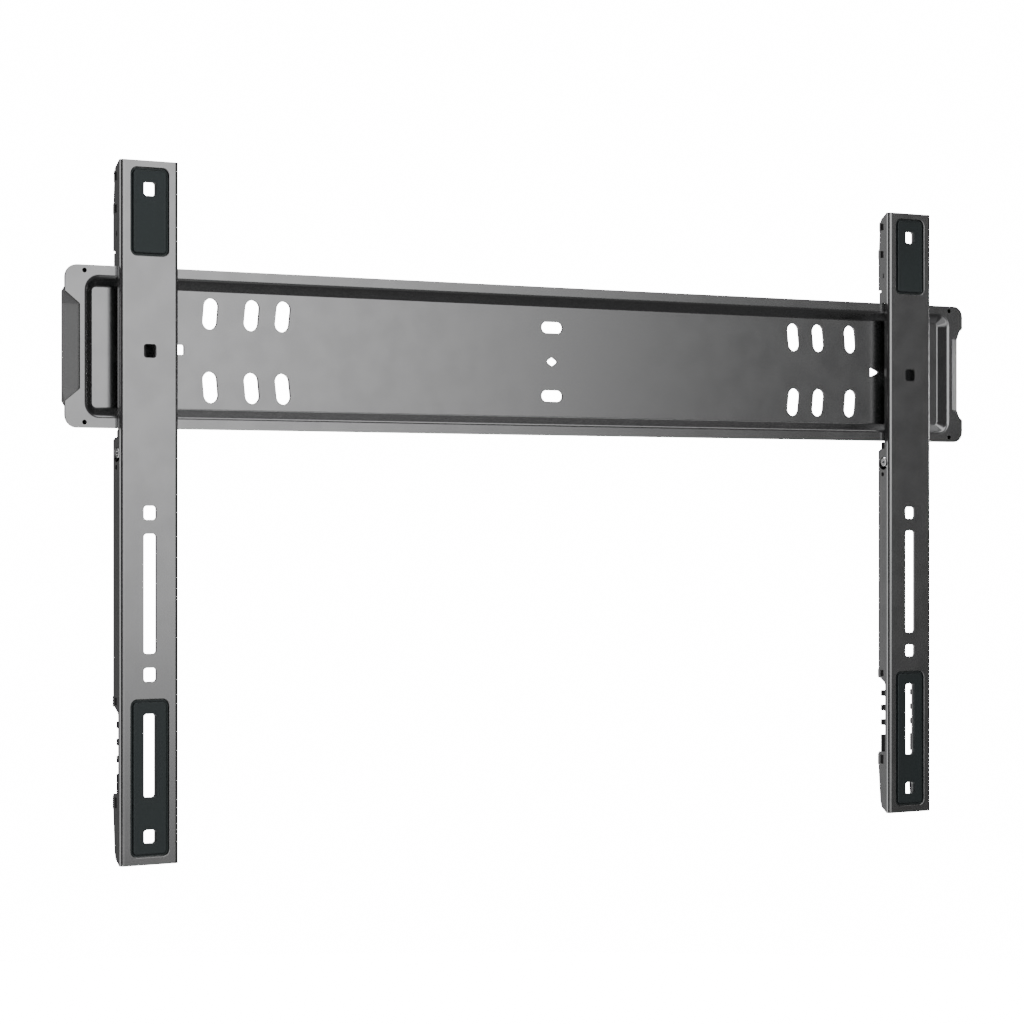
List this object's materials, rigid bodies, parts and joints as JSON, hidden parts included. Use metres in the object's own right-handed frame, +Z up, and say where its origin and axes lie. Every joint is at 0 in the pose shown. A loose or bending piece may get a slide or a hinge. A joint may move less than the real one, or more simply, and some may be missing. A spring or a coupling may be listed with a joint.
{
  "type": "fixed tv wall bracket",
  "caption": "Fixed flat-screen wall bracket: a pressed wall plate with levelling slots, and hook-on upright strips with rubber pads and sprung bottom latches.",
  "frame": {"origin": "middle of the wall plate's back face, on the wall plane", "axes": "+X along the plate, to the right of someone who faces the wall; +Y into the wall; +Z up"},
  "size_m": [0.7076, 0.0133, 0.435],
  "materials": {
    "coated_steel": "satin metallic dark grey coating",
    "cap_plastic": "satin dark grey moulded plastic",
    "pad_rubber": "matte slate grey rubber",
    "black_plastic": "matte black moulded plastic",
    "bright_steel": "bright plated steel",
    "wire_steel": "drawn steel wire"
  },
  "bodies": {
    "wall_side": {"wall_plate": "coated_steel", "end_cap_left": "cap_plastic", "end_cap_right": "cap_plastic"},
    "left_strip": {"interface_strip_left": "coated_steel", "upper_pad_left": "pad_rubber", "lower_pad_left": "pad_rubber", "upper_insert_left": "black_plastic", "upper_keeper_left": "black_plastic", "lower_keeper_left": "black_plastic", "latch_housing_left": "black_plastic", "latch_pin_left": "bright_steel", "latch_spring_left": "bright_steel"},
    "left_release": {"latch_left": "black_plastic", "pull_wire_left": "wire_steel", "release_slider_left": "black_plastic"},
    "right_strip": {"interface_strip_right": "coated_steel", "upper_pad_right": "pad_rubber", "lower_pad_right": "pad_rubber", "upper_insert_right": "black_plastic", "upper_keeper_right": "black_plastic", "lower_keeper_right": "black_plastic", "latch_housing_right": "black_plastic", "latch_pin_right": "bright_steel", "latch_spring_right": "bright_steel"},
    "right_release": {"latch_right": "black_plastic", "pull_wire_right": "wire_steel", "release_slider_right": "black_plastic"}
  },
  "joints": [
    {"name": "left_strip_slide", "type": "slide", "parent": "wall_side", "child": "left_strip", "axis": [1, 0, 0], "range_m": [-0.012, 0.25]},
    {"name": "left_latch_slide", "type": "slide", "parent": "left_strip", "child": "left_release", "axis": [0, 0, -1], "range_m": [0, 0.006], "stiffness_N_per_m": 400, "springref_m": -0.006, "deforming": ["latch_spring_left"]},
    {"name": "right_strip_slide", "type": "slide", "parent": "wall_side", "child": "right_strip", "axis": [-1, 0, 0], "range_m": [-0.012, 0.25]},
    {"name": "right_latch_slide", "type": "slide", "parent": "right_strip", "child": "right_release", "axis": [0, 0, -1], "range_m": [0, 0.006], "stiffness_N_per_m": 400, "springref_m": -0.006, "deforming": ["latch_spring_right"]}
  ]
}
